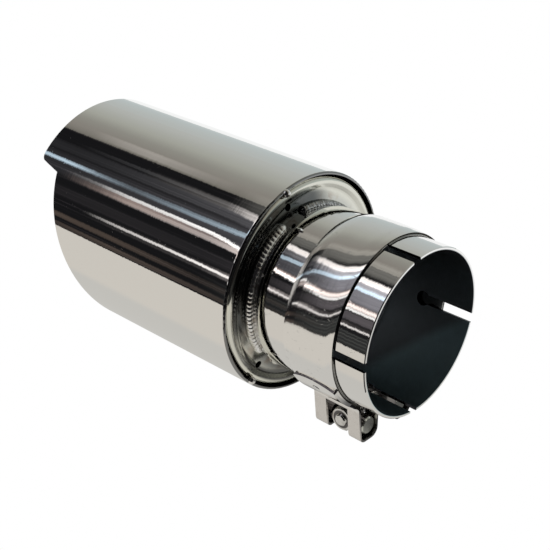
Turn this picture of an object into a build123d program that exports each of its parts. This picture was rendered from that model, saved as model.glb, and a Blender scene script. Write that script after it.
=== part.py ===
"""Clamp-on exhaust tip: a mirror-polished double-wall tail pipe end with a slotted inlet and a band clamp.

Lengths are in millimetres. The X axis is the pipe's axis and runs out of the inlet mouth, which lies
at X = 0; +Z is up. Angles about the axis are measured from straight up, positive towards -Y.
"""

import os
from math import asin, cos, degrees, radians, sin, sqrt, tan

from build123d import *

# Outer shell
SHELL_OD = 101.0
SHELL_WALL = 1.2
SHELL_LENGTH = 132.9
SHELL_RIM_ROUND = 0.9
INLET_REACH = 63.5

# Outlet, seen from the side: an overhanging visor above and a slash cut below it
VISOR_OVERHANG = 13.6
VISOR_EDGE_HEIGHT = 30.4
VISOR_EDGE_RISE = 2.6
VISOR_CORNER_ROUND = 3.0
SLASH_ANGLE = 19.7

# Core pipe, which carries the end cap and flares out to the shell near the outlet
CORE_OD = 71.2
CORE_WALL = 1.5
CORE_TAIL = 20.0
FLARE_INSET = 6.0
FLARE_LAND = 6.0
FLARE_LENGTH = 27.0
FLARE_ROUND = 9.0

# End cap, a pressed and dished ring between the core pipe and the shell
CAP_WALL = 1.5
CAP_GAP = 1.1
CAP_SKIRT = 6.0
CAP_PROUD = 0.5
CAP_DISH = 1.3
CAP_FLOOR_SHARE = 0.526
CAP_CREST_ROUND_SHARE = 0.19
CAP_DISH_ROUND_SHARE = 0.4
DRAIN_DIAMETER = 3.4
DRAIN_PLACE_SHARE = 0.442
DRAIN_FIRST_ANGLE = 15.0
DRAIN_COUNT = 3

# Weld beads
BEAD_RADIUS = 2.3
BEAD_STAND_OFF = 0.5
BEAD_DRAIN_MARGIN = 8.0
SHELL_TACK_RADIUS = 1.8
SLEEVE_TACK_RADIUS = 1.7
SLEEVE_TACK_ANGLES = (9.0, 189.0)

# Inlet sleeve with four keyhole slots, which the clamp squeezes on to the tail pipe
SLEEVE_OD = 74.6
SLEEVE_BORE = 72.1
SLEEVE_START = 5.8
SLEEVE_EDGE_ROUND = 1.1
SLEEVE_MOUTH_CHAMFER = 0.35
SLOT_WIDTH = 4.2
SLOT_LENGTH = 25.2
KEYHOLE_DIAMETER = 6.6
SLOT_ANGLES = (10.4, 88.8, 175.8, 258.0)

# Clamp band, folded into a loop at each side of its gap
BAND_WALL = 1.0
BAND_START = 22.2
BAND_WIDTH = 25.8
BAND_SEAT_GAP = 0.1
BAND_LIP = 3.2
BAND_LIP_DROP = 0.5
BAND_LIP_BEND = 36.0
BAND_CROWN = 0.25
BAND_CROWN_BEND = 240.0
BAND_GAP = 11.4
LOOP_BITE = 0.8
LOOP_INSET = 0.4
LOOP_FOOT = 17.3
LOOP_SHOULDER = 19.2
LOOP_RUN_IN = 3.0
LOOP_ROUND = 4.0
LOOP_BEND = 3.0
TAIL_END_ANGLE = 116.5
TAIL_INSET = 1.6
TAIL_LENGTH = 19.5
TAIL_TIP_ROUND = 22.0
TAIL_CORNER_ROUND = 1.5
WINDOW_WIDTH = 12.0
WINDOW_RISE = 10.0
SPOT_ANGLE = 126.0
SPOT_DIAMETER = 3.6
SPOT_PROUD = 0.15

# Clamp hardware: two cross barrels, an M6 screw and its nut
BARREL_DIAMETER = 8.4
BARREL_LENGTH = 23.0
BARREL_CHAMFER = 0.6
BARREL_SEAT_DEPTH = 4.7
BARREL_DROP = 9.0
BARREL_FLOOR_GAP = 1.1
SCREW_DIAMETER = 6.0
SCREW_HOLE = 6.5
SCREW_TIP = 1.2
SCREW_TIP_CHAMFER = 0.7
HEX_ACROSS_FLATS = 10.0
HEX_CHAMFER_SLOPE = 0.8
HEX_TURN = 0.0
HEAD_HEIGHT = 4.0
NUT_HEIGHT = 5.0
NUT_BORE = 6.1

# Fits between pieces that touch all round
SLIP_FIT = 0.05

# Stations along the axis and radii worked out from the sizes above
shell_radius = SHELL_OD / 2
shell_inner = shell_radius - SHELL_WALL
shell_rear = -INLET_REACH
shell_front = shell_rear - SHELL_LENGTH
slash_top = shell_front + VISOR_OVERHANG
slash_bottom = slash_top + (VISOR_EDGE_HEIGHT + shell_radius) * tan(radians(SLASH_ANGLE))
core_radius = CORE_OD / 2
core_rear = shell_rear + CORE_TAIL
flare_front = slash_bottom + FLARE_INSET
cap_radius = shell_inner - CAP_GAP
cap_bore = core_radius + SLIP_FIT
cap_ring = cap_radius - cap_bore
cap_floor_edge = cap_bore + CAP_FLOOR_SHARE * cap_ring
drain_circle = cap_bore + DRAIN_PLACE_SHARE * cap_ring
sleeve_radius = SLEEVE_OD / 2
sleeve_seat = core_radius + SLIP_FIT
sleeve_front = shell_rear + SLEEVE_START
band_front = shell_rear + BAND_START
band_rear = band_front + BAND_WIDTH
band_edge_radius = sleeve_radius + BAND_SEAT_GAP + BAND_WALL
band_radius = band_edge_radius + BAND_LIP_DROP
band_middle = (band_front + band_rear) / 2
barrel_radius = BARREL_DIAMETER / 2
barrel_depth = band_radius + BARREL_DROP
loop_depth = barrel_depth + barrel_radius + BARREL_FLOOR_GAP + BAND_WALL
barrel_offset = BAND_GAP / 2 + BAND_WALL + barrel_radius
seat_offset = barrel_offset + barrel_radius - BARREL_SEAT_DEPTH
hex_radius = HEX_ACROSS_FLATS / 2 / cos(radians(30))
gap_half_angle = degrees(asin(BAND_GAP / 2 / band_edge_radius))
tail_radius = band_radius + BAND_WALL
tail_span = 180 - TAIL_END_ANGLE - degrees(asin((LOOP_SHOULDER - BAND_WALL / 2) / tail_radius))
shoulder_depth = sqrt(tail_radius**2 - LOOP_SHOULDER**2)
loop_lean = (LOOP_SHOULDER - LOOP_FOOT) / (loop_depth - shoulder_depth)
drain_angles = [DRAIN_FIRST_ANGLE + 360 / DRAIN_COUNT * n for n in range(DRAIN_COUNT)]


def outward(angle):
    """Plane through the axis whose normal points straight out at an angle, with its x along the pipe."""
    turn = radians(angle)
    return Plane(origin=(0, 0, 0), x_dir=(1, 0, 0), z_dir=(0, -sin(turn), cos(turn)))


def section(angle):
    """Plane that holds the axis at an angle: its x runs along the pipe and its y straight out."""
    turn = radians(angle)
    return Plane(origin=(0, 0, 0), x_dir=(1, 0, 0), z_dir=(0, -cos(turn), -sin(turn)))


def across(radius, angle):
    """Y and Z of a point at a radius and an angle."""
    turn = radians(angle)
    return (-radius * sin(turn), radius * cos(turn))


# The outer shell is a rolled tube with a rounded rear rim, trimmed by the outlet's side profile
with BuildPart() as outer_shell:
    with BuildSketch(Plane.XZ) as shell_wall:
        with Locations(((shell_front + shell_rear) / 2, (shell_radius + shell_inner) / 2)):
            Rectangle(SHELL_LENGTH, SHELL_WALL)
        fillet(shell_wall.vertices().group_by(Axis.X)[-1].sort_by(Axis.Y)[-1], SHELL_RIM_ROUND)
    revolve(axis=Axis.X)
    with BuildSketch(Plane.XZ) as outlet_profile:
        with BuildLine():
            Polyline(
                (shell_front, shell_radius + 1),
                (shell_front, VISOR_EDGE_HEIGHT + VISOR_EDGE_RISE),
                (slash_top, VISOR_EDGE_HEIGHT),
                (slash_bottom, -shell_radius),
                (slash_bottom, -shell_radius - 1),
                (shell_rear, -shell_radius - 1),
                (shell_rear, shell_radius + 1),
                close=True,
            )
        make_face()
        fillet(outlet_profile.vertices().group_by(Axis.X)[0].sort_by(Axis.Y)[0], VISOR_CORNER_ROUND)
    extrude(amount=shell_radius + 1, both=True, mode=Mode.INTERSECT)

# The core pipe runs from inside the sleeve to a flare that bears on the shell near the outlet
with BuildPart() as core_pipe:
    with BuildSketch(Plane.XZ):
        with BuildLine():
            FilletPolyline(
                (core_rear, core_radius),
                (flare_front + FLARE_LAND + FLARE_LENGTH, core_radius),
                (flare_front + FLARE_LAND, shell_inner - SLIP_FIT),
                (flare_front, shell_inner - SLIP_FIT),
                radius=FLARE_ROUND,
            )
            offset(amount=CORE_WALL, side=Side.LEFT)
        make_face()
    revolve(axis=Axis.X)

# The end cap is pressed: a skirt inside the shell, a rounded crest, and a shallow dish down to the core pipe
with BuildPart() as end_cap:
    with BuildSketch(Plane.XZ):
        with BuildLine():
            FilletPolyline(
                (shell_rear - CAP_SKIRT, cap_radius),
                (shell_rear + CAP_PROUD, cap_radius),
                (shell_rear - CAP_DISH, cap_floor_edge),
                (shell_rear, cap_bore),
                radius=[CAP_CREST_ROUND_SHARE * cap_ring, CAP_DISH_ROUND_SHARE * cap_ring],
            )
            offset(amount=CAP_WALL, side=Side.RIGHT)
        make_face()
    revolve(axis=Axis.X)
    with BuildSketch(Plane.YZ.offset(shell_rear - CAP_SKIRT)):
        Circle(cap_bore)
        with Locations([across(drain_circle, a) for a in drain_angles]):
            Circle(DRAIN_DIAMETER / 2)
    extrude(amount=2 * CAP_SKIRT, mode=Mode.SUBTRACT)

# The bead joins cap and core pipe in arcs that stop short of the drain holes
with BuildPart() as cap_weld:
    bead_span = 360 / DRAIN_COUNT - 2 * BEAD_DRAIN_MARGIN
    for drain_angle in drain_angles:
        with BuildSketch(section(drain_angle + BEAD_DRAIN_MARGIN)):
            with Locations((shell_rear + BEAD_STAND_OFF, core_radius + BEAD_STAND_OFF)):
                Circle(BEAD_RADIUS)
            with BuildLine():
                Polyline(
                    (shell_rear + CAP_SKIRT, core_radius),
                    (shell_rear, core_radius),
                    (shell_rear, cap_bore),
                    (shell_rear - CAP_DISH, cap_floor_edge),
                    (shell_rear - CAP_SKIRT, cap_floor_edge),
                    (shell_rear - CAP_SKIRT, core_radius - CAP_SKIRT),
                    (shell_rear + CAP_SKIRT, core_radius - CAP_SKIRT),
                    close=True,
                )
            make_face(mode=Mode.SUBTRACT)
        revolve(axis=Axis.X, revolution_arc=bead_span)

# Three tacks bridge the gap between the shell's rim and the cap's crest, each beside a drain hole
with BuildPart() as shell_tack_welds:
    with Locations([(shell_rear, *across(shell_inner - CAP_GAP / 2, a)) for a in drain_angles]):
        Sphere(SHELL_TACK_RADIUS)
    add(outer_shell.part, mode=Mode.SUBTRACT)
    add(end_cap.part, mode=Mode.SUBTRACT)

# The sleeve seats on the core pipe's tail and is bored out from there; its slots end in keyholes
with BuildPart() as inlet_sleeve:
    with BuildSketch(Plane.XZ) as sleeve_wall:
        with BuildLine():
            Polyline(
                (sleeve_front, sleeve_radius),
                (sleeve_front, sleeve_seat),
                (core_rear, sleeve_seat),
                (core_rear, SLEEVE_BORE / 2),
                (0, SLEEVE_BORE / 2),
                (0, sleeve_radius),
                close=True,
            )
        make_face()
        fillet(sleeve_wall.vertices().group_by(Axis.X)[0].sort_by(Axis.Y)[-1], SLEEVE_EDGE_ROUND)
        chamfer(sleeve_wall.vertices().group_by(Axis.X)[-1].sort_by(Axis.Y)[-1], SLEEVE_MOUTH_CHAMFER)
    revolve(axis=Axis.X)
    for slot_angle in SLOT_ANGLES:
        with BuildSketch(outward(slot_angle)):
            with Locations((-SLOT_LENGTH / 2, 0)):
                Rectangle(SLOT_LENGTH, SLOT_WIDTH)
            with Locations((-SLOT_LENGTH, 0)):
                Circle(KEYHOLE_DIAMETER / 2)
        extrude(amount=sleeve_radius + 1, mode=Mode.SUBTRACT)

# Small tacks hold the sleeve's edge to the core pipe
with BuildPart() as sleeve_tack_welds:
    with Locations([(sleeve_front, *across(core_radius, a)) for a in SLEEVE_TACK_ANGLES]):
        Sphere(SLEEVE_TACK_RADIUS)
    with BuildSketch(Plane.YZ.offset(shell_rear)):
        Circle(core_radius)
    extrude(amount=2 * SLEEVE_START, mode=Mode.SUBTRACT)
    add(inlet_sleeve.part, mode=Mode.SUBTRACT)

# Each end of the band is folded into a loop whose tail lies back on the band and ends in a rounded tongue
with BuildPart() as folded_ends:
    with BuildSketch(Plane.YZ.offset(band_front + LOOP_INSET)) as loop_outline:
        with BuildLine():
            Polyline(
                (-BAND_GAP / 2, -shoulder_depth + LOOP_RUN_IN),
                (-BAND_GAP / 2, -loop_depth),
                (-LOOP_FOOT, -loop_depth),
                (-LOOP_SHOULDER - LOOP_RUN_IN * loop_lean, -shoulder_depth + LOOP_RUN_IN),
                close=True,
            )
        make_face()
        fillet(loop_outline.vertices().group_by(Axis.Y)[0], LOOP_ROUND)
        offset(amount=-BAND_WALL, mode=Mode.SUBTRACT)
        Circle(band_radius - LOOP_BITE, mode=Mode.SUBTRACT)
        with BuildLine():
            tail_outside = CenterArc((0, 0), tail_radius, 90 + TAIL_END_ANGLE, tail_span)
            tail_inside = CenterArc((0, 0), band_radius - LOOP_BITE, 90 + TAIL_END_ANGLE, tail_span)
            Line(tail_outside @ 0, tail_inside @ 0)
            Line(tail_outside @ 1, tail_inside @ 1)
        make_face()
        fillet(loop_outline.vertices().sort_by_distance((-LOOP_SHOULDER, -shoulder_depth))[0], LOOP_BEND)
    extrude(amount=BAND_WIDTH - 2 * LOOP_INSET)
    with BuildSketch(outward(TAIL_END_ANGLE)):
        with Locations((band_middle, -TAIL_LENGTH / 2)):
            Rectangle(BAND_WIDTH, TAIL_LENGTH)
        with BuildSketch(mode=Mode.SUBTRACT) as tongue:
            with Locations((band_middle, -TAIL_TIP_ROUND)):
                Circle(TAIL_TIP_ROUND)
                Rectangle(BAND_WIDTH - 2 * TAIL_INSET, 2 * TAIL_TIP_ROUND, mode=Mode.INTERSECT)
            fillet(tongue.vertices().group_by(Axis.Y)[-1], TAIL_CORNER_ROUND)
    extrude(amount=tail_radius + 1, mode=Mode.SUBTRACT)
    with BuildSketch(Plane.YZ.offset(band_middle - WINDOW_WIDTH / 2)):
        with Locations((0, WINDOW_RISE - barrel_depth)):
            Rectangle(2 * LOOP_SHOULDER + BAND_GAP, loop_depth, align=(Align.CENTER, Align.MAX))
    extrude(amount=WINDOW_WIDTH, mode=Mode.SUBTRACT)
    mirror(about=Plane.XZ)

# The band is one strip round the sleeve, with turned-in lips
with BuildPart() as clamp_band:
    with BuildSketch(section(180 + gap_half_angle)):
        with BuildLine():
            FilletPolyline(
                (band_front, band_edge_radius),
                (band_front + BAND_LIP, band_radius),
                (band_middle, band_radius + BAND_CROWN),
                (band_rear - BAND_LIP, band_radius),
                (band_rear, band_edge_radius),
                radius=[BAND_LIP_BEND, BAND_CROWN_BEND, BAND_LIP_BEND],
            )
            offset(amount=BAND_WALL, side=Side.RIGHT)
        make_face()
    revolve(axis=Axis.X, revolution_arc=360 - 2 * gap_half_angle)
    add(folded_ends.part)

# Spot welds hold each folded tail down on the band
with BuildPart() as band_spot_welds:
    for spot_angle in (SPOT_ANGLE, 360 - SPOT_ANGLE):
        with BuildSketch(outward(spot_angle)):
            with Locations((band_middle, 0)):
                Circle(SPOT_DIAMETER / 2)
        extrude(amount=tail_radius + SPOT_PROUD)
    with BuildSketch(Plane.YZ.offset(band_front)):
        Circle(tail_radius)
    extrude(amount=BAND_WIDTH, mode=Mode.SUBTRACT)


def cross_barrel(side):
    """Barrel that lies in a loop, with a flat for the screw's head or nut; side is -1 near and 1 far."""
    seat = Plane.XZ.offset(-side * seat_offset)
    with BuildPart() as barrel:
        with BuildSketch(Plane.YZ.offset(band_middle - BARREL_LENGTH / 2)):
            with Locations((side * barrel_offset, -barrel_depth)):
                Circle(barrel_radius)
        extrude(amount=BARREL_LENGTH)
        chamfer(barrel.edges().filter_by(GeomType.CIRCLE), BARREL_CHAMFER)
        with BuildSketch(seat):
            with Locations((band_middle, -barrel_depth)):
                Rectangle(WINDOW_WIDTH, 2 * BARREL_DIAMETER)
        extrude(amount=-side * BARREL_DIAMETER, mode=Mode.SUBTRACT)
        with BuildSketch(seat):
            with Locations((band_middle, -barrel_depth)):
                Circle(SCREW_HOLE / 2)
        extrude(amount=BARREL_DIAMETER, both=True, mode=Mode.SUBTRACT)
    return barrel


def hexagon(height):
    """Hexagon on the near barrel's flat, its outer corners cut back by a cone."""
    corner_cut = (hex_radius - HEX_ACROSS_FLATS / 2) * HEX_CHAMFER_SLOPE
    with BuildPart() as prism:
        with BuildSketch(Plane.XZ.offset(seat_offset)):
            with Locations((band_middle, -barrel_depth)):
                RegularPolygon(HEX_ACROSS_FLATS / 2, 6, major_radius=False, rotation=HEX_TURN)
        extrude(amount=height)
        with BuildSketch(Plane.XY.offset(-barrel_depth)):
            with BuildLine():
                Polyline(
                    (band_middle, -seat_offset),
                    (band_middle + hex_radius, -seat_offset),
                    (band_middle + hex_radius, -seat_offset - height + corner_cut),
                    (band_middle + HEX_ACROSS_FLATS / 2, -seat_offset - height),
                    (band_middle, -seat_offset - height),
                    close=True,
                )
            make_face()
        revolve(axis=Axis((band_middle, 0, -barrel_depth), (0, 1, 0)), mode=Mode.INTERSECT)
    return prism


near_barrel = cross_barrel(-1)
far_barrel = cross_barrel(1)

# The nut sits on the near barrel's flat and the screw's head on the far one's
with BuildPart() as clamp_nut:
    add(hexagon(NUT_HEIGHT).part)
    with BuildSketch(Plane.XZ.offset(seat_offset)):
        with Locations((band_middle, -barrel_depth)):
            Circle(NUT_BORE / 2)
    extrude(amount=NUT_HEIGHT, mode=Mode.SUBTRACT)

with BuildPart() as clamp_screw:
    with BuildSketch(Plane.XZ.offset(-seat_offset)):
        with Locations((band_middle, -barrel_depth)):
            Circle(SCREW_DIAMETER / 2)
    extrude(amount=2 * seat_offset + NUT_HEIGHT + SCREW_TIP)
    chamfer(clamp_screw.edges().group_by(Axis.Y)[0], SCREW_TIP_CHAMFER)
    add(mirror(hexagon(HEAD_HEIGHT).part, about=Plane.XZ, mode=Mode.PRIVATE))

nodes = {
    "outer_shell": outer_shell,
    "core_pipe": core_pipe,
    "end_cap": end_cap,
    "cap_weld": cap_weld,
    "shell_tack_welds": shell_tack_welds,
    "inlet_sleeve": inlet_sleeve,
    "sleeve_tack_welds": sleeve_tack_welds,
    "clamp_band": clamp_band,
    "band_spot_welds": band_spot_welds,
    "near_barrel": near_barrel,
    "far_barrel": far_barrel,
    "clamp_nut": clamp_nut,
    "clamp_screw": clamp_screw,
}
os.makedirs("parts", exist_ok=True)
for name, node in nodes.items():
    node.part.label = name
    export_step(node.part, f"parts/{name}.step")
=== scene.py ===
"""Looks of the clamp-on exhaust tip: polished steel, a rippled bead, a threaded screw, a stage and a camera.

Lengths are in metres, in the part's frame: the pipe's axis is X, +X runs out of the inlet mouth at X = 0, and
+Z is up. Angles about the axis are measured from straight up, positive towards -Y, as in the part's source.
"""

import math
import random

import bmesh
import bpy
from mathutils import Matrix, Vector


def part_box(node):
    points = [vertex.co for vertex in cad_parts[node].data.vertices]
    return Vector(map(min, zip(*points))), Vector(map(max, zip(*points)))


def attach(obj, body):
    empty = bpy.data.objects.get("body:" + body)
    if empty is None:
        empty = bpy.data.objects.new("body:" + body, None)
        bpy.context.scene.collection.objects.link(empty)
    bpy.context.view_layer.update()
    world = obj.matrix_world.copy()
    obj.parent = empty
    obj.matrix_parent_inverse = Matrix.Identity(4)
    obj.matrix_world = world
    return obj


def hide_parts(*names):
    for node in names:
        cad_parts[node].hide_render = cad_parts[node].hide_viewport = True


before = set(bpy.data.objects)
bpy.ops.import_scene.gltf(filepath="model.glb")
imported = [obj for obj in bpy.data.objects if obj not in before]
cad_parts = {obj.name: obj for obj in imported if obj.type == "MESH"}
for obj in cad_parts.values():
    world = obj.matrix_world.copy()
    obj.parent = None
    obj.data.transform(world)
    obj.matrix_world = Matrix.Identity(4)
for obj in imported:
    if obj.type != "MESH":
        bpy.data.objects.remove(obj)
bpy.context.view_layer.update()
random.seed(11)

MM = 0.001

# Places worked out from the frame
shell_high = Vector(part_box("outer_shell")[1])
band_low, band_high = (Vector(corner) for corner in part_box("clamp_band"))
screw_low, screw_high = (Vector(corner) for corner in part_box("clamp_screw"))
SHELL_RADIUS = shell_high.z
SHELL_REAR = shell_high.x
BAND_RADIUS = band_high.z
BAND_MIDDLE = (band_low.x + band_high.x) / 2
BAND_HALF_WIDTH = (band_high.x - band_low.x) / 2
LOOP_FOOT = band_low.z
SCREW_HEIGHT = (screw_low.z + screw_high.z) / 2

# Sizes that repeat the part's source
CORE_RADIUS = 35.6 * MM
SLEEVE_BORE_RADIUS = 36.05 * MM
SLOT_LENGTH = 25.2 * MM
SLOT_HALF_WIDTH = 2.1 * MM
KEYHOLE_RADIUS = 3.3 * MM
SLOT_ANGLES = (10.4, 88.8, 175.8, 258.0)
DRAIN_ANGLES = (15, 135, 255)
DRAIN_SPACING = 120

# Camera, fitted to the photograph's ellipses
CAMERA_PLACE = (0.23426, -0.33894, 0.24690)
CAMERA_RIGHT = (0.73139, 0.68196, 0.0)
CAMERA_UP = (-0.32350, 0.34695, 0.88033)
CAMERA_BACK = (0.60034, -0.64386, 0.47437)
CAMERA_LENS = 76.74

# Degrees on the screen for each degree on the pipe, and the angle on the screen that the pipe's top mirrors
SCREEN_TURN = 2.03
SCREEN_START = -55.7

SOFT_BLACK = (0.10, 0.10, 0.10)


def along(x, radius, angle):
    """Point at a station on the axis, a radius and an angle in degrees."""
    turn = math.radians(angle)
    return Vector((x, -radius * math.sin(turn), radius * math.cos(turn)))


def link_object(name, data):
    """New object in the scene from a mesh, a lamp's data or a camera's data."""
    made = bpy.data.objects.new(name, data)
    bpy.context.collection.objects.link(made)
    return made


def mesh_object(name, points, faces, smooth=True):
    """New mesh object from points and faces."""
    mesh = bpy.data.meshes.new(name)
    mesh.from_pydata([tuple(point) for point in points], [], faces)
    mesh.validate()
    for polygon in mesh.polygons:
        polygon.use_smooth = smooth
    return link_object(name, mesh)


class Nodes:
    """Short way to add and join shader nodes in one material or world."""

    def __init__(self, tree):
        self.tree = tree
        self.tree.nodes.clear()

    def add(self, kind, **settings):
        node = self.tree.nodes.new(kind)
        for name, value in settings.items():
            setattr(node, name, value)
        return node

    def join(self, source, target):
        self.tree.links.new(source, target)

    def give(self, value, socket):
        """Set a socket to a number or a colour, or join an output to it."""
        if isinstance(value, (int, float)):
            socket.default_value = value
        elif isinstance(value, tuple):
            socket.default_value = (*value, 1.0)
        else:
            self.join(value, socket)

    def math(self, operation, first, second=None):
        node = self.add("ShaderNodeMath", operation=operation)
        self.give(first, node.inputs[0])
        if second is not None:
            self.give(second, node.inputs[1])
        return node.outputs[0]

    def times(self, first, second):
        return self.math("MULTIPLY", first, second)

    def plus(self, first, second):
        return self.math("ADD", first, second)

    def minus(self, first, second):
        return self.math("SUBTRACT", first, second)

    def larger(self, first, second):
        return self.math("MAXIMUM", first, second)

    def size(self, value):
        return self.math("ABSOLUTE", value)

    def sine(self, angle):
        return self.math("SINE", angle)

    def cosine(self, angle):
        return self.math("COSINE", angle)

    def length(self, first, second):
        """Length of the long side of a right triangle."""
        return self.math("SQRT", self.plus(self.times(first, first), self.times(second, second)))

    def turn(self, y, z):
        """Angle about the axis, from straight up and positive towards -Y."""
        return self.math("ARCTAN2", self.times(y, -1.0), z)

    def split(self, vector):
        node = self.add("ShaderNodeSeparateXYZ")
        self.join(vector, node.inputs[0])
        return tuple(node.outputs)

    def combine(self, x, y, z):
        node = self.add("ShaderNodeCombineXYZ")
        for value, socket in zip((x, y, z), node.inputs):
            self.give(value, socket)
        return node.outputs[0]

    def vector_sum(self, first, second):
        node = self.add("ShaderNodeVectorMath", operation="ADD")
        self.join(first, node.inputs[0])
        self.join(second, node.inputs[1])
        return node.outputs[0]

    def scaled(self, vector, amount):
        node = self.add("ShaderNodeVectorMath", operation="SCALE")
        self.join(vector, node.inputs[0])
        self.join(amount, node.inputs["Scale"])
        return node.outputs[0]

    def unit(self, vector):
        node = self.add("ShaderNodeVectorMath", operation="NORMALIZE")
        self.join(vector, node.inputs[0])
        return node.outputs[0]

    def dot(self, first, second):
        node = self.add("ShaderNodeVectorMath", operation="DOT_PRODUCT")
        self.join(first, node.inputs[0])
        self.join(second, node.inputs[1])
        return node.outputs["Value"]

    def place(self):
        return self.add("ShaderNodeNewGeometry").outputs["Position"]

    def face_normal(self):
        return self.add("ShaderNodeNewGeometry").outputs["Normal"]

    def noise(self, vector, scale, detail=3.0, roughness=0.55, distortion=0.0):
        node = self.add("ShaderNodeTexNoise")
        node.inputs["Scale"].default_value = scale
        node.inputs["Detail"].default_value = detail
        node.inputs["Roughness"].default_value = roughness
        node.inputs["Distortion"].default_value = distortion
        self.join(vector, node.inputs["Vector"])
        return node.outputs["Fac"]

    def range(self, value, low, high, to_low=0.0, to_high=1.0, kind="SMOOTHSTEP"):
        """Share that runs from one value at low to the other at high; low may be the larger of the two."""
        node = self.add("ShaderNodeMapRange", interpolation_type=kind)
        self.join(value, node.inputs["Value"])
        node.inputs["From Min"].default_value = low
        node.inputs["From Max"].default_value = high
        node.inputs["To Min"].default_value = to_low
        node.inputs["To Max"].default_value = to_high
        return node.outputs["Result"]

    def sector(self, angle, low, high, to_low=0.0, to_high=1.0, kind="SMOOTHSTEP"):
        """Range over an angle about the axis, with its two ends in degrees."""
        return self.range(angle, math.radians(low), math.radians(high), to_low, to_high, kind)

    def ramp(self, value, stops):
        node = self.add("ShaderNodeValToRGB")
        self.join(value, node.inputs["Fac"])
        elements = node.color_ramp.elements
        while len(elements) > 1:
            elements.remove(elements[-1])
        elements[0].position = stops[0][0]
        elements[0].color = (*stops[0][1], 1.0)
        for place, color in stops[1:]:
            added = elements.new(place)
            added.color = (*color, 1.0)
        return node.outputs["Color"]

    def mix(self, factor, first, second, blend="MIX"):
        node = self.add("ShaderNodeMix", data_type="RGBA", blend_type=blend)
        self.give(factor, node.inputs["Factor"])
        self.give(first, node.inputs["A"])
        self.give(second, node.inputs["B"])
        return node.outputs["Result"]

    def glow(self, color):
        node = self.add("ShaderNodeEmission")
        self.join(color, node.inputs["Color"])
        return node.outputs[0]

    def finish(self, shader, kind="ShaderNodeOutputMaterial"):
        output = self.add(kind)
        self.join(shader, output.inputs["Surface"])


def new_material(name):
    """New material with an empty node tree."""
    material = bpy.data.materials.new(name)
    material.use_nodes = True
    return material, Nodes(material.node_tree)


def finish_metal(nodes, color, roughness, height, strength, distance, normal=None):
    """Metal with the given colour and roughness, raised by a height over its own normal or a given one."""
    shader = nodes.add("ShaderNodeBsdfPrincipled")
    shader.inputs["Metallic"].default_value = 1.0
    nodes.give(color, shader.inputs["Base Color"])
    nodes.give(roughness, shader.inputs["Roughness"])
    bump = nodes.add("ShaderNodeBump")
    bump.inputs["Strength"].default_value = strength
    bump.inputs["Distance"].default_value = distance
    nodes.join(height, bump.inputs["Height"])
    if normal is not None:
        nodes.join(normal, bump.inputs["Normal"])
    nodes.join(bump.outputs["Normal"], shader.inputs["Normal"])
    nodes.finish(shader.outputs[0])


def pipe_coordinates(nodes):
    """Place of a surface point, its station along the axis, its radius and its angle round the axis."""
    place = nodes.place()
    x, y, z = nodes.split(place)
    return place, x, nodes.length(y, z), nodes.turn(y, z)


def wrapped_noise(nodes, x, angle, along_scale, round_scale, detail, roughness=0.55, distortion=0.0):
    """Noise that wraps round the pipe and runs as lines round its axis."""
    across = nodes.times(nodes.sine(angle), round_scale)
    up = nodes.times(nodes.cosine(angle), round_scale)
    wrapped = nodes.combine(nodes.times(x, along_scale), across, up)
    return nodes.noise(wrapped, 1.0, detail, roughness, distortion)


def scratch_marks(nodes, x, angle, along_scale, round_scale, bend, start):
    """Short thin scratches round the pipe."""
    field = wrapped_noise(nodes, x, angle, along_scale, round_scale, 2.0, 0.4, bend)
    softness = 0.02
    return nodes.range(field, start, start + softness)


def lined_normal(nodes, x, angle, scale, round_share, along_share, turned=None, tipped=None):
    """Surface normal leaned by fine polishing lines round the pipe, and turned or tipped by what is given."""
    lines = wrapped_noise(nodes, x, angle, scale, 0.8, 3.0, 0.75)
    finer_lines = wrapped_noise(nodes, x, angle, scale * 1.7, 1.1, 2.0, 0.6)
    sway = nodes.times(nodes.minus(lines, 0.5), round_share)
    pitch = nodes.times(nodes.minus(finer_lines, 0.5), along_share)
    if turned is not None:
        sway = nodes.minus(sway, turned)
    if tipped is not None:
        pitch = nodes.plus(pitch, tipped)
    across = nodes.times(sway, nodes.cosine(angle))
    up = nodes.times(sway, nodes.sine(angle))
    return nodes.unit(nodes.vector_sum(nodes.face_normal(), nodes.combine(pitch, across, up)))


def shell_material():
    """Mirror-polished shell: fine lines round it, faint haze, a few short scratches, duller inside, and
    painted shade along its rear rim.
    """
    material, nodes = new_material("polished_steel")
    place, x, radius, angle = pipe_coordinates(nodes)
    haze = nodes.noise(place, scale=32.0, detail=4.0)
    waves = wrapped_noise(nodes, x, angle, along_scale=26.0, round_scale=1.3, detail=2.0)
    scratches = scratch_marks(nodes, x, angle, along_scale=480.0, round_scale=26.0, bend=1.2, start=0.74)
    # Painted shade: the rear rim's last fraction of a millimetre is darkened for the gap to the cap
    shaded_rim_edge = nodes.range(x, SHELL_REAR - 0.75 * MM, SHELL_REAR - 0.5 * MM)
    inside = nodes.range(radius, SHELL_RADIUS - 0.9 * MM, SHELL_RADIUS - 1.1 * MM)
    inside = nodes.times(inside, nodes.range(x, SHELL_REAR - 4.0 * MM, SHELL_REAR - 5.0 * MM))
    color = nodes.mix(nodes.times(shaded_rim_edge, 0.8), (0.92, 0.915, 0.90), SOFT_BLACK)
    color = nodes.mix(inside, color, (0.74, 0.75, 0.76))
    roughness = nodes.range(haze, 0.3, 0.75, 0.01, 0.03, "LINEAR")
    roughness = nodes.plus(roughness, nodes.times(scratches, 0.12))
    roughness = nodes.plus(roughness, nodes.times(inside, 0.22))
    height = nodes.minus(waves, nodes.times(scratches, 0.05))
    normal = lined_normal(nodes, x, angle, scale=3100.0, round_share=0.03, along_share=0.03)
    finish_metal(nodes, color, roughness, height, strength=0.12, distance=0.3 * MM, normal=normal)
    return material


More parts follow.
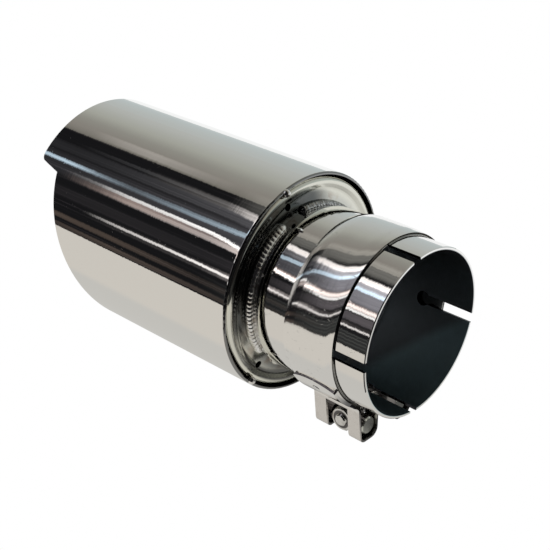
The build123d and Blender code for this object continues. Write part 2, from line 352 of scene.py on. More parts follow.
def loop_shadow(nodes, place, x, radius):
    """Share of painted shade in the loops' inside and under the band, lighter on the walls of the screw's
    gap.
    """
    # Each zone is given by where it starts and where it is full
    between_skins = (16.9 * MM, 16.6 * MM)
    below_band = (-37.5 * MM, -39.5 * MM)
    within_gap = (7.2 * MM, 6.9 * MM)
    above_foot = (-46.5 * MM, -45.5 * MM)
    mouth_side = (-20.6 * MM, -19.6 * MM)
    band_inside = (38.25 * MM, 38.15 * MM)
    _, y, z = nodes.split(place)
    depth = nodes.size(y)
    inside = nodes.times(nodes.range(depth, *between_skins), nodes.range(z, *below_band))
    gap_wall = nodes.times(nodes.range(depth, *within_gap), nodes.range(z, *above_foot))
    gap_wall = nodes.times(gap_wall, nodes.range(x, *mouth_side))
    inside = nodes.times(inside, nodes.minus(1.0, nodes.times(gap_wall, 0.9)))
    lining = nodes.range(radius, *band_inside)
    return nodes.larger(nodes.times(inside, 0.92), nodes.times(lining, 0.966))


def tail_step(nodes, share, radius, angle, ring):
    """Shares of the folded tail's rounded upper edge and of the foot below it, where shade is painted."""
    edge_height = 0.12 * MM
    edge_full = 0.22 * MM
    lip_drop = 0.65 * MM
    ring_radius = BAND_RADIUS - 0.05 * MM
    face_normal = nodes.face_normal()
    outward = nodes.combine(0.0, nodes.times(nodes.sine(angle), -1.0), nodes.cosine(angle))
    face_x, _, _ = nodes.split(face_normal)
    upright = nodes.range(nodes.size(nodes.dot(face_normal, outward)), 0.7, 0.4)
    sideways = nodes.range(nodes.size(face_x), 0.8, 0.5)
    step = nodes.times(nodes.times(upright, ring), sideways)
    dip = nodes.range(nodes.size(share), 0.5, 1.0, 0.0, lip_drop)
    rise = nodes.plus(nodes.minus(radius, ring_radius), dip)
    rounding = nodes.times(step, nodes.range(rise, edge_height, edge_full))
    foot = nodes.times(step, nodes.range(rise, edge_full, edge_height))
    return rounding, foot


def band_normal(nodes, x, angle, share, ring):
    """Normal of the band's ring, turned as if pillowed between the lips and tipped on the lips."""
    twist = 0.13
    lip_tip = -0.12
    cubed = nodes.times(nodes.times(share, share), share)
    turned = nodes.times(nodes.times(cubed, ring), twist)
    turned = nodes.times(turned, nodes.sector(angle, 108.0, 100.0))
    rear_lip = nodes.range(share, 0.72, 0.86)
    front_lip = nodes.range(share, -0.72, -0.90)
    front_lip = nodes.times(front_lip, nodes.sector(angle, 80.0, 58.0))
    lips = nodes.times(nodes.plus(rear_lip, nodes.times(front_lip, 0.5)), lip_tip)
    tipped = nodes.times(lips, ring)
    return lined_normal(nodes, x, angle, 3000.0, 0.03, 0.02, turned, tipped)


def band_material():
    """Polished band with painted shade on its rear edge wall and a painted highlight line at the wall's inner
    corner, painted shade at the foot of the tail's step, and duller loops with painted shade on the inside.
    """
    material, nodes = new_material("band_steel")
    place, x, radius, angle = pipe_coordinates(nodes)
    share = nodes.math("DIVIDE", nodes.minus(x, BAND_MIDDLE), BAND_HALF_WIDTH)
    loops = nodes.range(radius, 41.0 * MM, 42.5 * MM)
    ring = nodes.minus(1.0, loops)
    grain = wrapped_noise(nodes, x, angle, along_scale=1500.0, round_scale=4.0, detail=3.0)
    grime = nodes.range(nodes.noise(place, scale=240.0, detail=4.0), 0.5, 0.8, 0.0, 0.3)
    scratches = scratch_marks(nodes, x, angle, along_scale=300.0, round_scale=22.0, bend=1.6, start=0.71)
    rounding, foot = tail_step(nodes, share, radius, angle, ring)
    skyward = nodes.combine(0.04, nodes.times(nodes.math("SIGN", angle), -0.825), 0.565)
    normal = nodes.mix(rounding, band_normal(nodes, x, angle, share, ring), skyward)
    face_x, _, _ = nodes.split(nodes.face_normal())
    # Painted shade and highlight: the band's rear edge wall is near black, with a light line at its inner
    # corner standing in for a reflection
    edge = nodes.times(nodes.range(share, 0.90, 0.95), nodes.range(face_x, 0.5, 0.7))
    edge_highlight_line = nodes.range(radius, 37.64 * MM, 37.54 * MM)
    edge_shade_and_highlight = nodes.mix(edge_highlight_line, (0.026, 0.024, 0.020), (0.55, 0.55, 0.53))
    color = nodes.mix(loops, (0.91, 0.90, 0.885), (0.84, 0.80, 0.765))
    # Painted shade inside the loops and under the band
    color = nodes.mix(loop_shadow(nodes, place, x, radius), color, SOFT_BLACK)
    color = nodes.mix(nodes.times(loops, grime), color, (0.45, 0.40, 0.36))
    # Painted shade: a dark line at the foot of the tail's step
    color = nodes.mix(nodes.times(foot, 0.85), color, (0.05, 0.05, 0.05))
    color = nodes.mix(nodes.times(edge, ring), color, edge_shade_and_highlight)
    roughness = nodes.plus(nodes.times(loops, 0.16), 0.075)
    roughness = nodes.plus(roughness, nodes.times(scratches, 0.12))
    roughness = nodes.minus(roughness, nodes.times(rounding, 0.045))
    height = nodes.plus(nodes.times(grain, 0.02), nodes.times(scratches, -0.05))
    finish_metal(nodes, color, roughness, height, strength=1.0, distance=1.0 * MM, normal=normal)
    return material


def shaded_slot_walls(nodes, x, radius, angle):
    """Share that is full on the cut faces of the sleeve's four keyhole slots, which are painted dark as
    shade.
    """
    outer_margin = 0.08 * MM
    inner_margin = 0.03 * MM
    end_blend = 0.1 * MM
    half_width = (SLOT_HALF_WIDTH + outer_margin, SLOT_HALF_WIDTH + inner_margin)
    keyhole_radius = (KEYHOLE_RADIUS + outer_margin, KEYHOLE_RADIUS + inner_margin)
    slot_end = (-SLOT_LENGTH - end_blend, -SLOT_LENGTH + end_blend)
    walls = None
    for slot_angle in SLOT_ANGLES:
        turned = nodes.minus(angle, math.radians((slot_angle + 180) % 360 - 180))
        side = nodes.times(radius, nodes.sine(turned))
        near = nodes.range(nodes.cosine(turned), 0.8, 0.85)
        straight = nodes.range(nodes.size(side), *half_width)
        straight = nodes.times(straight, nodes.range(x, *slot_end))
        from_end = nodes.length(nodes.plus(x, SLOT_LENGTH), side)
        keyhole = nodes.range(from_end, *keyhole_radius)
        wall = nodes.times(nodes.larger(straight, keyhole), near)
        walls = wall if walls is None else nodes.larger(walls, wall)
    return walls


def sleeve_material():
    """Sleeve polished outside, with a dull bore that has painted shade above and painted light below, and
    slot walls painted dark as shade.
    """
    material, nodes = new_material("sleeve_steel")
    place, x, radius, angle = pipe_coordinates(nodes)
    haze = nodes.noise(place, scale=40.0, detail=4.0)
    scratches = scratch_marks(nodes, x, angle, along_scale=260.0, round_scale=30.0, bend=1.4, start=0.71)
    inside = nodes.range(radius, SLEEVE_BORE_RADIUS + 0.3 * MM, SLEEVE_BORE_RADIUS + 0.1 * MM)
    _, _, z = nodes.split(place)
    # Painted light and shade in the bore: below a slanted line it is a lighter blue, lit from the mouth, and
    # above it darker, in shade
    light_slope = 0.83
    light_edge = nodes.minus(z, nodes.times(x, light_slope))
    low_side = nodes.range(light_edge, -3.0 * MM, -10.0 * MM)
    bore = nodes.mix(low_side, (0.34, 0.36, 0.38), (0.56, 0.72, 0.76))
    color = nodes.mix(inside, (0.90, 0.89, 0.875), bore)
    # Painted shade: the slot walls are near black
    color = nodes.mix(shaded_slot_walls(nodes, x, radius, angle), color, (0.035, 0.036, 0.040))
    roughness = nodes.range(haze, 0.3, 0.75, 0.02, 0.05, "LINEAR")
    roughness = nodes.plus(roughness, nodes.times(scratches, 0.15))
    roughness = nodes.plus(roughness, nodes.times(inside, 0.26))
    height = nodes.times(scratches, -0.1)
    normal = lined_normal(nodes, x, angle, scale=3400.0, round_share=0.065, along_share=0.04)
    finish_metal(nodes, color, roughness, height, strength=0.15, distance=0.3 * MM, normal=normal)
    return material


def core_material():
    """Core pipe: clean on the collar behind the sleeve, heat-tinted beside the bead, dull inside."""
    material, nodes = new_material("core_steel")
    place, x, radius, angle = pipe_coordinates(nodes)
    lines = wrapped_noise(nodes, x, angle, along_scale=1800.0, round_scale=3.0, detail=4.0, roughness=0.7)
    blotches = nodes.noise(place, scale=260.0)
    bore = nodes.range(radius, CORE_RADIUS - 0.6 * MM, CORE_RADIUS - 1.2 * MM)
    within_shell = nodes.range(x, SHELL_REAR - 4.0 * MM, SHELL_REAR - 6.0 * MM)
    inside = nodes.larger(bore, within_shell)
    near_bead = nodes.range(x, SHELL_REAR + 6.0 * MM, SHELL_REAR + 3.0 * MM)
    near_bead = nodes.minus(near_bead, within_shell)
    tinted = nodes.times(near_bead, nodes.range(blotches, 0.55, 0.75))
    color = nodes.mix(inside, (0.86, 0.85, 0.83), (0.28, 0.30, 0.32))
    color = nodes.mix(nodes.times(tinted, 0.55), color, (0.42, 0.30, 0.20))
    low_side = nodes.sector(angle, 70.0, 95.0)
    roughness = nodes.plus(nodes.times(inside, 0.3), 0.07)
    roughness = nodes.plus(roughness, nodes.times(low_side, 0.25))
    finish_metal(nodes, color, roughness, lines, strength=0.02, distance=0.3 * MM)
    return material


def cap_shade(nodes, radius, angle):
    """Share of the dark crescent on the cap's near side, a painted reflection of the dark side of the room.
    """
    upper_limit = 47.3 * MM
    lower_limit = 45.2 * MM
    limit = nodes.sector(angle, 72.0, 90.0, upper_limit, lower_limit)
    shade = nodes.range(nodes.minus(radius, limit), 0.0, -0.9 * MM)
    start = nodes.range(radius, 41.0 * MM, 47.0 * MM, math.radians(-24.0), math.radians(12.0))
    shade = nodes.times(shade, nodes.sector(nodes.minus(angle, start), -6.0, 18.0))
    return nodes.times(shade, nodes.sector(angle, 116.0, 96.0))


def cap_material():
    """Pressed cap: satin sheet with soot-dark heat tint towards the bead, a painted dark reflection from its
    top round its far side, and another in a crescent on its near side.
    """
    material, nodes = new_material("pressed_steel")
    place, x, radius, angle = pipe_coordinates(nodes)
    grain = nodes.noise(place, scale=900.0, detail=4.0)
    blotches = nodes.noise(place, scale=130.0)
    near_bead = nodes.range(radius, 42.5 * MM, 38.5 * MM)
    brown = nodes.times(near_bead, nodes.range(blotches, 0.45, 0.65))
    # Painted reflection: from just short of the top round the far side, the cap is darkened for the dark it
    # mirrors
    dark_side_reflection = nodes.sector(angle, 25.0, 5.0, 0.0, 0.22)
    color = nodes.mix(nodes.times(near_bead, 0.45), (0.88, 0.87, 0.78), (0.40, 0.42, 0.42))
    color = nodes.mix(nodes.times(brown, 0.5), color, (0.40, 0.27, 0.17))
    color = nodes.mix(dark_side_reflection, color, (0.10, 0.10, 0.09))
    # Painted reflection: a dark crescent on the cap's near side
    color = nodes.mix(nodes.times(cap_shade(nodes, radius, angle), 0.90), color, (0.055, 0.062, 0.066))
    roughness = nodes.range(blotches, 0.3, 0.7, 0.10, 0.15, "LINEAR")
    low_crest = nodes.times(nodes.sector(angle, 68.0, 88.0), nodes.range(radius, 43.8 * MM, 45.0 * MM))
    low_crest = nodes.times(low_crest, nodes.sector(angle, 135.0, 110.0))
    turned = nodes.times(low_crest, 0.32)
    normal = lined_normal(nodes, x, angle, scale=2000.0, round_share=0.0, along_share=0.0, turned=turned)
    finish_metal(nodes, color, roughness, grain, strength=0.006, distance=0.2 * MM, normal=normal)
    return material


def weld_material():
    """Weld metal as it froze: glassy ripples with dark oxide between them, specks of painted dark reflection
    along the top, brighter on the upper arc.
    """
    material, nodes = new_material("weld_steel")
    place, _, _, angle = pipe_coordinates(nodes)
    blotches = nodes.noise(place, scale=420.0, detail=4.0)
    fine = nodes.noise(place, scale=2600.0)
    color = nodes.ramp(blotches, [
        (0.30, (0.52, 0.48, 0.43)),
        (0.50, (0.90, 0.89, 0.87)),
        (0.62, (0.97, 0.97, 0.97)),
        (0.74, (0.60, 0.55, 0.50)),
    ])
    # Painted reflection: dark specks along the very top of the bead
    dark_top_reflection = nodes.times(nodes.sector(angle, 14.0, 6.0), nodes.range(fine, 0.62, 0.52))
    color = nodes.mix(nodes.times(dark_top_reflection, 0.80), color, (0.06, 0.065, 0.07))
    roughness = nodes.range(blotches, 0.3, 0.7, 0.10, 0.22, "LINEAR")
    upper_arc = nodes.times(nodes.sector(angle, 14.0, 22.0), nodes.sector(angle, 66.0, 52.0))
    towards_light = (0.08, -0.82, 0.56)
    normal = nodes.unit(nodes.mix(nodes.times(upper_arc, 0.45), nodes.face_normal(), towards_light))
    finish_metal(nodes, color, roughness, fine, strength=0.32, distance=0.1 * MM, normal=normal)
    return material


def fastener_material():
    """Bright plated steel of the screw, with a little grime."""
    material, nodes = new_material("fastener_steel")
    place = nodes.place()
    grime = nodes.noise(place, scale=300.0, detail=4.0)
    fine = nodes.noise(place, scale=1800.0)
    color = nodes.ramp(grime, [
        (0.30, (0.62, 0.60, 0.57)),
        (0.55, (0.84, 0.82, 0.79)),
        (0.75, (0.88, 0.86, 0.83)),
    ])
    roughness = nodes.range(grime, 0.3, 0.7, 0.2, 0.11, "LINEAR")
    finish_metal(nodes, color, roughness, fine, strength=0.08, distance=0.1 * MM)
    return material


def barrel_material():
    """Barrel with a dull grey-green end face and a body painted dark as shade deep in the loop."""
    material, nodes = new_material("barrel_steel")
    place = nodes.place()
    x, _, _ = nodes.split(place)
    grime = nodes.noise(place, scale=320.0, detail=4.0)
    # Painted shade: the barrel's body, deep in the loop, is dark; only its end faces are grey-green
    end_face = nodes.range(nodes.size(nodes.minus(x, BAND_MIDDLE)), 10.6 * MM, 11.3 * MM)
    color = nodes.mix(end_face, (0.16, 0.15, 0.15), (0.74, 0.75, 0.68))
    color = nodes.mix(nodes.range(grime, 0.5, 0.75, 0.0, 0.5), color, (0.30, 0.29, 0.26))
    finish_metal(nodes, color, 0.24, grime, strength=0.2, distance=0.2 * MM)
    return material


def nut_material():
    """Nut with a face round the screw painted dark as shade, a little grime, and bright corners."""
    material, nodes = new_material("nut_steel")
    place = nodes.place()
    x, _, z = nodes.split(place)
    grime = nodes.noise(place, scale=420.0, detail=4.0)
    from_axis = nodes.length(nodes.minus(x, BAND_MIDDLE), nodes.minus(z, SCREW_HEIGHT))
    # Painted shade: the nut's face round the screw is dark
    face = nodes.range(from_axis, 4.6 * MM, 4.0 * MM)
    color = nodes.mix(face, (0.85, 0.83, 0.80), (0.13, 0.12, 0.12))
    color = nodes.mix(nodes.range(grime, 0.5, 0.8, 0.0, 0.5), color, (0.30, 0.27, 0.25))
    finish_metal(nodes, color, 0.16, grime, strength=0.25, distance=0.2 * MM)
    return material


shell_steel = shell_material()
barrel_steel = barrel_material()
nut_steel = nut_material()
sleeve_steel = sleeve_material()
band_steel = band_material()
core_steel = core_material()
cap_steel = cap_material()
weld_steel = weld_material()
fastener_steel = fastener_material()

finishes = {
    "outer_shell": shell_steel,
    "core_pipe": core_steel,
    "end_cap": cap_steel,
    "cap_weld": weld_steel,
    "shell_tack_welds": weld_steel,
    "inlet_sleeve": sleeve_steel,
    "sleeve_tack_welds": weld_steel,
    "clamp_band": band_steel,
    "band_spot_welds": weld_steel,
    "near_barrel": barrel_steel,
    "far_barrel": barrel_steel,
    "clamp_nut": nut_steel,
    "clamp_screw": fastener_steel,
}
for node_name, material in finishes.items():
    for material_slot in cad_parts[node_name].material_slots:
        material_slot.material = material


def weld_bead():
    """Bead of overlapping ripples between the cap and the core pipe, in arcs that end beside the drains."""
    bead_radius = 2.25 * MM
    center_x = SHELL_REAR + 0.5 * MM
    center_radius = CORE_RADIUS + 0.5 * MM
    ripple_pitch = 2.0 * MM
    ripple_height = 0.26 * MM
    sink = 0.05 * MM
    blunt = 0.05 * MM
    taper_length = 2.2 * MM
    edge_lag = 0.55
    margin = 8.0
    span = DRAIN_SPACING - 2 * margin
    samples_per_ripple = 10
    across_steps = 18
    # The bead's section runs from the core pipe over the top and down to the cap
    low_turn = math.radians(-22)
    high_turn = math.radians(118)
    row = across_steps + 1
    points = []
    faces = []
    for drain_angle in DRAIN_ANGLES:
        arc = math.radians(span) * (center_radius + bead_radius)
        ripples = int(arc / ripple_pitch)
        steps = ripples * samples_per_ripple
        heights = [random.uniform(0.75, 1.2) for _ in range(ripples + 3)]
        swells = [random.uniform(0.94, 1.05) for _ in range(ripples + 3)]
        base = len(points)
        for i in range(steps + 1):
            share = i / steps
            angle = drain_angle + margin + span * share
            end_distance = min(share, 1 - share) * arc
            taper = math.sqrt(min(1.0, (end_distance + blunt) / taper_length))
            for j in range(row):
                cross = j / across_steps
                turn = low_turn + (high_turn - low_turn) * cross
                bow = (2 * cross - 1) ** 2
                phase = share * ripples + edge_lag * bow
                index = int(phase)
                step = phase - index
                ridge = math.sin(math.pi * step ** 0.7) ** 0.8 * heights[index]
                edge = math.sin(math.pi * cross) ** 0.4
                swell = swells[index] * (1 - step) + swells[index + 1] * step
                radius = bead_radius * taper * (0.90 + 0.1 * (swell - 1))
                radius += ripple_height * ridge * edge * taper - sink
                station = center_x + radius * math.sin(turn)
                points.append(along(station, center_radius + radius * math.cos(turn), angle))
        for i in range(steps):
            for j in range(across_steps):
                first = base + i * row + j
                faces.append((first, first + 1, first + row + 1, first + row))
    made = mesh_object("weld_bead", points, faces)
    made.data.materials.append(weld_steel)
    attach(made, "root")
    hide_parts("cap_weld")


def hexagon_radius(turn, across_flats):
    """Distance from a hexagon's centre to its edge in a direction, with flats facing up and down."""
    sector = math.radians(60)
    offset = (turn - math.radians(90)) % sector
    if offset > sector / 2:
        offset -= sector
    return across_flats / 2 / math.cos(offset)


def threaded_screw():
    """Hexagon screw with a rolled thread, in place of the plain one."""
    center_x = (screw_low.x + screw_high.x) / 2
    tip_y = screw_low.y
    head_y = screw_high.y
    head_height = 4.0 * MM
    seat_y = head_y - head_height
    flats = screw_high.z - screw_low.z
    shank_radius = 3.0 * MM
    thread_depth = 0.5 * MM
    tip_bevel = 0.7 * MM
    chamfer_depth = 0.6 * MM
    pitch = 1.0 * MM
    steps_per_turn = 8
    around = 48
    points = []
    faces = []

    def ring(y, radius_at):
        for k in range(around):
            turn = 2 * math.pi * k / around
            radius = radius_at(turn)
            points.append(Vector((
                center_x + radius * math.cos(turn),
                y,
                SCREW_HEIGHT + radius * math.sin(turn),
            )))

    def join_rings(count, base):
        for i in range(count - 1):
            for k in range(around):
                first = base + i * around + k
                following = base + i * around + (k + 1) % around
                faces.append((first, following, following + around, first + around))

    thread_steps = int((seat_y - tip_y) / (pitch / steps_per_turn))
    for i in range(thread_steps + 1):
        y = tip_y + (seat_y - tip_y) * i / thread_steps
        bevel = max(0.0, tip_bevel - (y - tip_y))

        def thread_radius(turn, y=y, bevel=bevel):
            phase = (y / pitch + turn / (2 * math.pi)) % 1.0
            groove = abs(phase - 0.5) * 2
            return min(shank_radius - thread_depth * (1 - groove), shank_radius - bevel)

        ring(y, thread_radius)
    join_rings(thread_steps + 1, 0)
    faces.append(tuple(reversed(range(around))))
    base = len(points)
    # Each ring of the head has its place, its share of the hexagon and the radius that rounds its corners
    profile = [
        (seat_y, 0.97, 9.0 * MM),
        (seat_y + 0.15 * MM, 1.0, 9.0 * MM),
        (head_y - chamfer_depth, 1.0, 5.75 * MM),
        (head_y - chamfer_depth / 2, 1.0, 5.35 * MM),
        (head_y, 0.985, 4.85 * MM),
    ]
    for y, share, limit in profile:
        ring(y, lambda turn, share=share, limit=limit: min(hexagon_radius(turn, flats) * share, limit))
    join_rings(len(profile), base)
    last = base + (len(profile) - 1) * around
    faces.append(tuple(reversed(range(base, base + around))))
    faces.append(tuple(range(last, last + around)))
    made = mesh_object("clamp_screw_threaded", points, faces)
    made.data.materials.append(fastener_steel)
    made.data.set_sharp_from_angle(angle=math.radians(28))
    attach(made, "root")
    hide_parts("clamp_screw")


def droplets(name, places):
    """Small lumps of weld spatter sitting on the metal; each place is a centre and a radius."""
    unevenness = 0.12
    cluster = bmesh.new()
    for center, radius in places:
        made = bmesh.ops.create_icosphere(cluster, subdivisions=3, radius=radius)
        for vertex in made["verts"]:
            wobble = 1 + random.uniform(-unevenness, unevenness)
            vertex.co = Vector(center) + vertex.co * wobble
    mesh = bpy.data.meshes.new(name)
    cluster.to_mesh(mesh)
    cluster.free()
    for polygon in mesh.polygons:
        polygon.use_smooth = True
    mesh.materials.append(weld_steel)
    made = link_object(name, mesh)
    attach(made, "root")


weld_bead()
threaded_screw()
droplets("weld_spatter", [
    (along(-58.3 * MM, 36.2 * MM, 7.2), 0.5 * MM),
    (along(-58.6 * MM, 35.9 * MM, 11.5), 0.45 * MM),
    (along(-60.4 * MM, 35.7 * MM, 6.0), 0.35 * MM),
    (along(-59.6 * MM, 35.7 * MM, 61.0), 0.55 * MM),
    (along(-59.4 * MM, 35.6 * MM, 84.0), 0.3 * MM),
])


def reflected(pipe_angle):
    """Angle on the screen that the camera sees mirrored at an angle on the pipe."""
    return math.radians(SCREEN_TURN * pipe_angle + SCREEN_START)


def camera_white(nodes, shader, kind="ShaderNodeEmission"):
    """Shader that is plain white to the camera and as given to everything else."""
    path = nodes.add("ShaderNodeLightPath")
    white = nodes.add(kind)
    white.inputs["Color"].default_value = (1, 1, 1, 1)
    pick = nodes.add("ShaderNodeMixShader")
    nodes.join(path.outputs["Is Camera Ray"], pick.inputs[0])
    nodes.join(shader, pick.inputs[1])
    nodes.join(white.outputs[0], pick.inputs[2])
    return pick.outputs[0]


def add_table():
    """Pale table under the part, its corner on the mouth's side cut off, with the part's shade on it."""
    rest_x = -28.0 * MM
    rest_z = LOOP_FOOT - 0.05 * MM
    slope = -0.0294
    far = 1.8
    outline = [
        (-far, -0.215),
        (-0.09, -0.215),
        (-0.01, -0.090),
        (0.04, -0.03),
        (far, 0.3),
        (far, far),
        (-far, far),
    ]
    corners = [(x, y, rest_z + (x - rest_x) * slope) for x, y in outline]
    table = mesh_object("table", corners, [tuple(range(len(corners)))], smooth=False)
    material, nodes = new_material("pale_table")
    x, y, _ = nodes.split(nodes.place())
    near_tone = (0.635, 0.605, 0.555)
    middle_tone = (0.575, 0.565, 0.535)
    far_tone = (0.93, 0.94, 0.94)
    # Each side of a zone is given by where it starts and where it is full
    middle_start = (-0.072, -0.060)
    far_start = (0.02, 0.16)
    shade_near_side = (-0.022, 0.0)
    shade_far_side = (0.12, 0.06)
    shade_outlet_side = (-0.08, -0.05)
    shade_mouth_side = (0.018, 0.004)
    color = nodes.mix(nodes.range(y, *middle_start), near_tone, middle_tone)
    color = nodes.mix(nodes.range(y, *far_start), color, far_tone)
    shade = nodes.times(nodes.range(y, *shade_near_side), nodes.range(y, *shade_far_side))
    shade = nodes.times(shade, nodes.range(x, *shade_outlet_side))
    shade = nodes.times(shade, nodes.range(x, *shade_mouth_side))
    color = nodes.mix(nodes.times(shade, 0.9), color, (0.05, 0.05, 0.055))
    nodes.finish(camera_white(nodes, nodes.glow(color)))
    table.data.materials.append(material)


# Stations on the screen that are mirrored at the shell's front, at two places in its middle and at its rear,
# then on the collar, the band and the sleeve's tail
STRIP_STATIONS = (-0.79, -0.735, -0.68, -0.55, -0.472, -0.418, -0.361)

# Light strips on the screen: pipe angle where each shows on the shell and on the sleeve's tail, half-width in
# degrees on the pipe, tint, and brightness at each station
STRIPS = {
    "pale edge": (24.9, 25.3, 2.6, (1.0, 0.93, 0.90), (0.02, 0.11, 0.15, 0.01, 0.0, 0.0, 0.0)),
    "pale fill": (28.5, 29.0, 6.0, (1.0, 0.98, 0.90), (0.0, 0.0, 0.0, 0.0, 0.13, 0.14, 0.16)),
    "upper line": (34.4, 34.4, 1.0, (1.0, 1.0, 1.05), (0.0, 0.015, 0.03, 0.03, 0.0, 0.0, 0.0)),
    "upper window": (34.8, 38.6, 2.1, (1.0, 0.94, 0.915), (0.0, 0.0, 0.0, 0.09, 0.95, 1.0, 1.15)),
    "upper haze": (38.5, 41.0, 2.6, (0.97, 0.96, 1.05), (0.015, 0.02, 0.03, 0.06, 0.10, 0.28, 0.45)),
    "blue window": (45.6, 44.3, 1.35, (0.78, 1.0, 1.18), (0.55, 0.18, 0.08, 0.30, 0.50, 0.62, 0.95)),
    "room glow": (47.5, 48.0, 6.5, (0.97, 0.95, 1.06), (0.02, 0.025, 0.03, 0.05, 0.06, 0.13, 0.26)),
    "main window": (50.2, 57.6, 0.9, (1.0, 0.985, 0.975), (0.0, 0.10, 0.60, 1.2, 1.2, 1.1, 1.05)),
    "second window": (53.2, 55.4, 1.3, (1.0, 0.91, 0.885), (0.0, 0.02, 0.10, 0.36, 0.70, 1.00, 0.90)),
    "warm window": (52.4, 55.2, 1.8, (1.0, 0.74, 0.64), (0.0, 0.10, 0.26, 0.13, 0.28, 0.34, 0.28)),
    "thin window": (66.0, 67.6, 0.7, (1.0, 0.96, 0.94), (0.0, 0.0, 0.48, 1.0, 0.60, 0.85, 0.80)),
    "thin haze": (66.4, 66.8, 2.0, (1.0, 0.90, 0.88), (0.0, 0.0, 0.02, 0.05, 0.28, 0.10, 0.03)),
    "low glow": (61.0, 61.6, 2.8, (1.0, 0.90, 0.97), (0.01, 0.012, 0.012, 0.01, 0.02, 0.07, 0.10)),
    "brown shelf": (73.2, 73.6, 1.5, (1.0, 0.74, 0.58), (0.07, 0.065, 0.06, 0.02, 0.015, 0.012, 0.0)),
    "lower shelf": (78.0, 79.0, 1.3, (1.0, 0.76, 0.62), (0.045, 0.05, 0.06, 0.045, 0.015, 0.008, 0.0)),
    "green haze": (75.0, 75.4, 5.4, (0.96, 1.0, 0.95), (0.0, 0.0, 0.0, 0.0, 0.008, 0.016, 0.022)),
    "first rail": (70.8, 71.2, 0.42, (0.95, 1.0, 0.95), (0.0, 0.0, 0.0, 0.0, 0.015, 0.028, 0.040)),
    "second rail": (72.8, 73.2, 0.42, (0.95, 1.0, 0.95), (0.0, 0.0, 0.0, 0.0, 0.015, 0.028, 0.040)),
    "third rail": (74.9, 75.3, 0.42, (0.95, 1.0, 0.95), (0.0, 0.0, 0.0, 0.0, 0.015, 0.028, 0.040)),
    "fourth rail": (77.0, 77.4, 0.42, (0.95, 1.0, 0.95), (0.0, 0.0, 0.0, 0.0, 0.012, 0.024, 0.034)),
}


def add_strips(nodes, color, x, angle, uneven):
    """Screen's colour with the light strips added, each running from its shell angle to its tail angle."""
    low = STRIP_STATIONS[0]
    high = STRIP_STATIONS[-1]
    station = nodes.range(x, low, high, kind="LINEAR")
    far_share = nodes.range(x, -0.56, -0.40)
    fade = nodes.range(x, -0.10, -0.24)
    for shell_angle, tail_angle, half_width, tint, levels in STRIPS.values():
        drift = reflected(tail_angle) - reflected(shell_angle)
        center = nodes.plus(nodes.times(far_share, drift), reflected(shell_angle))
        width = math.radians(SCREEN_TURN * half_width)
        shape = nodes.range(nodes.size(nodes.minus(angle, center)), width * 1.15, width * 0.55)
        stops = [((at - low) / (high - low), (level,) * 3) for at, level in zip(STRIP_STATIONS, levels)]
        lit = nodes.mix(1.0, nodes.ramp(station, stops), tint, "MULTIPLY")
        amount = nodes.times(nodes.times(shape, fade), uneven)
        color = nodes.vector_sum(color, nodes.scaled(lit, amount))
    return color


def add_screen():
    """Dark curved screen on the camera's side with light strips on it; only reflections see it."""
    radius = 0.6
    first = math.radians(-10.0)
    last = math.radians(115.0)
    ends = (-1.3, 0.6)
    steps = 48
    points = []
    faces = []
    for i in range(steps + 1):
        turn = first + (last - first) * i / steps
        for x in ends:
            points.append((x, -radius * math.sin(turn), radius * math.cos(turn)))
        if i:
            faces.append((2 * i - 2, 2 * i - 1, 2 * i + 1, 2 * i))
    screen = mesh_object("screen", points, faces)
    material, nodes = new_material("strip_screen")
    _, x, _, angle = pipe_coordinates(nodes)
    streaks = nodes.combine(nodes.times(x, 3.0), nodes.times(angle, 38.0), 0.0)
    fine = nodes.noise(streaks, scale=1.0, detail=3.0, roughness=0.6)
    dark = (0.0085, 0.0085, 0.0095)
    paler_streak = (0.042, 0.038, 0.042)
    color = nodes.mix(nodes.range(fine, 0.56, 0.80), dark, paler_streak)
    ceiling = nodes.sector(angle, 2.2, 0.8)
    overhead = nodes.sector(angle, -10.0, 1.0, kind="LINEAR")
    ceiling_tone = nodes.mix(overhead, (0.245, 0.23, 0.205), (0.17, 0.16, 0.14))
    color = nodes.mix(ceiling, color, ceiling_tone)
    # A paler wall closes the screen off beyond the shell's outlet
    wall = nodes.range(x, -0.86, -0.95)
    color = nodes.mix(wall, color, (0.50, 0.48, 0.46))
    uneven = nodes.range(fine, 0.25, 0.75, 0.6, 1.3, "LINEAR")
    nodes.finish(nodes.glow(add_strips(nodes, color, x, angle, uneven)))
    screen.data.materials.append(material)
    screen.visible_camera = False


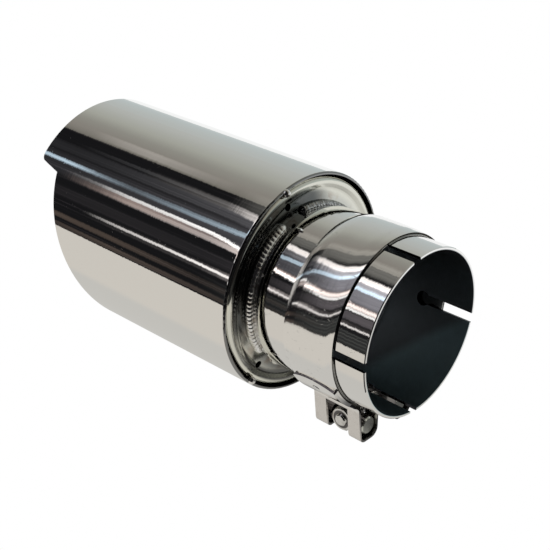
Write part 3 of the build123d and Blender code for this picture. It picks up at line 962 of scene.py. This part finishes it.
# Tone of the room by angle about the pipe's axis, from straight up, positive towards -Y
ROOM = [
    (-180, (0.58, 0.58, 0.57)),
    (-100, (0.62, 0.66, 0.66)),
    (-84, (0.49, 0.54, 0.54)),
    (-56, (0.46, 0.475, 0.455)),
    (-35, (0.38, 0.385, 0.345)),
    (-23, (0.285, 0.28, 0.25)),
    (-12, (0.25, 0.235, 0.21)),
    (1, (0.17, 0.16, 0.14)),
    (3, (0.010, 0.010, 0.012)),
    (116, (0.012, 0.010, 0.009)),
    (180, (0.035, 0.032, 0.03)),
]


def add_world():
    """Room round the part: a pale ceiling and back, dark on the camera's side and below the horizon."""
    world = bpy.data.worlds.new("studio")
    bpy.context.scene.world = world
    world.use_nodes = True
    nodes = Nodes(world.node_tree)
    _, y, z = nodes.split(nodes.add("ShaderNodeTexCoord").outputs["Generated"])
    place = nodes.sector(nodes.turn(y, z), -180.0, 180.0, kind="LINEAR")
    room = nodes.ramp(place, [((degrees + 180) / 360, color) for degrees, color in ROOM])
    below = nodes.range(z, -0.02, -0.12)
    room_light = nodes.add("ShaderNodeBackground")
    nodes.join(nodes.mix(below, room, (0.03, 0.03, 0.03)), room_light.inputs["Color"])
    room_seen = camera_white(nodes, room_light.outputs[0], "ShaderNodeBackground")
    nodes.finish(room_seen, "ShaderNodeOutputWorld")


def add_lamp(name, place, target, size, power, color):
    """Soft square lamp that lights the part and doesn't show in its reflections."""
    data = bpy.data.lights.new(name, "AREA")
    data.shape = "SQUARE"
    data.size = size
    data.energy = power
    data.color = color
    lamp = link_object(name, data)
    lamp.location = place
    lamp.rotation_euler = (Vector(target) - Vector(place)).to_track_quat("-Z", "Y").to_euler()
    lamp.visible_glossy = False
    lamp.visible_camera = False


def add_camera():
    """Camera at the photograph's place and angle."""
    data = bpy.data.cameras.new("camera")
    data.lens = CAMERA_LENS
    data.sensor_width = 36.0
    data.clip_start = 0.01
    data.clip_end = 20.0
    camera = link_object("camera", data)
    turned = Matrix((CAMERA_RIGHT, CAMERA_UP, CAMERA_BACK)).transposed().to_4x4()
    camera.matrix_world = Matrix.Translation(Vector(CAMERA_PLACE)) @ turned
    bpy.context.scene.camera = camera


add_table()
add_screen()
add_world()
add_lamp("soft_top", (0.1, -0.3, 1.1), (-0.08, 0, 0), 0.9, 6.0, (1.0, 0.98, 0.95))
add_camera()
bpy.context.scene.view_settings.view_transform = "Standard"
bpy.context.scene.view_settings.look = "None"
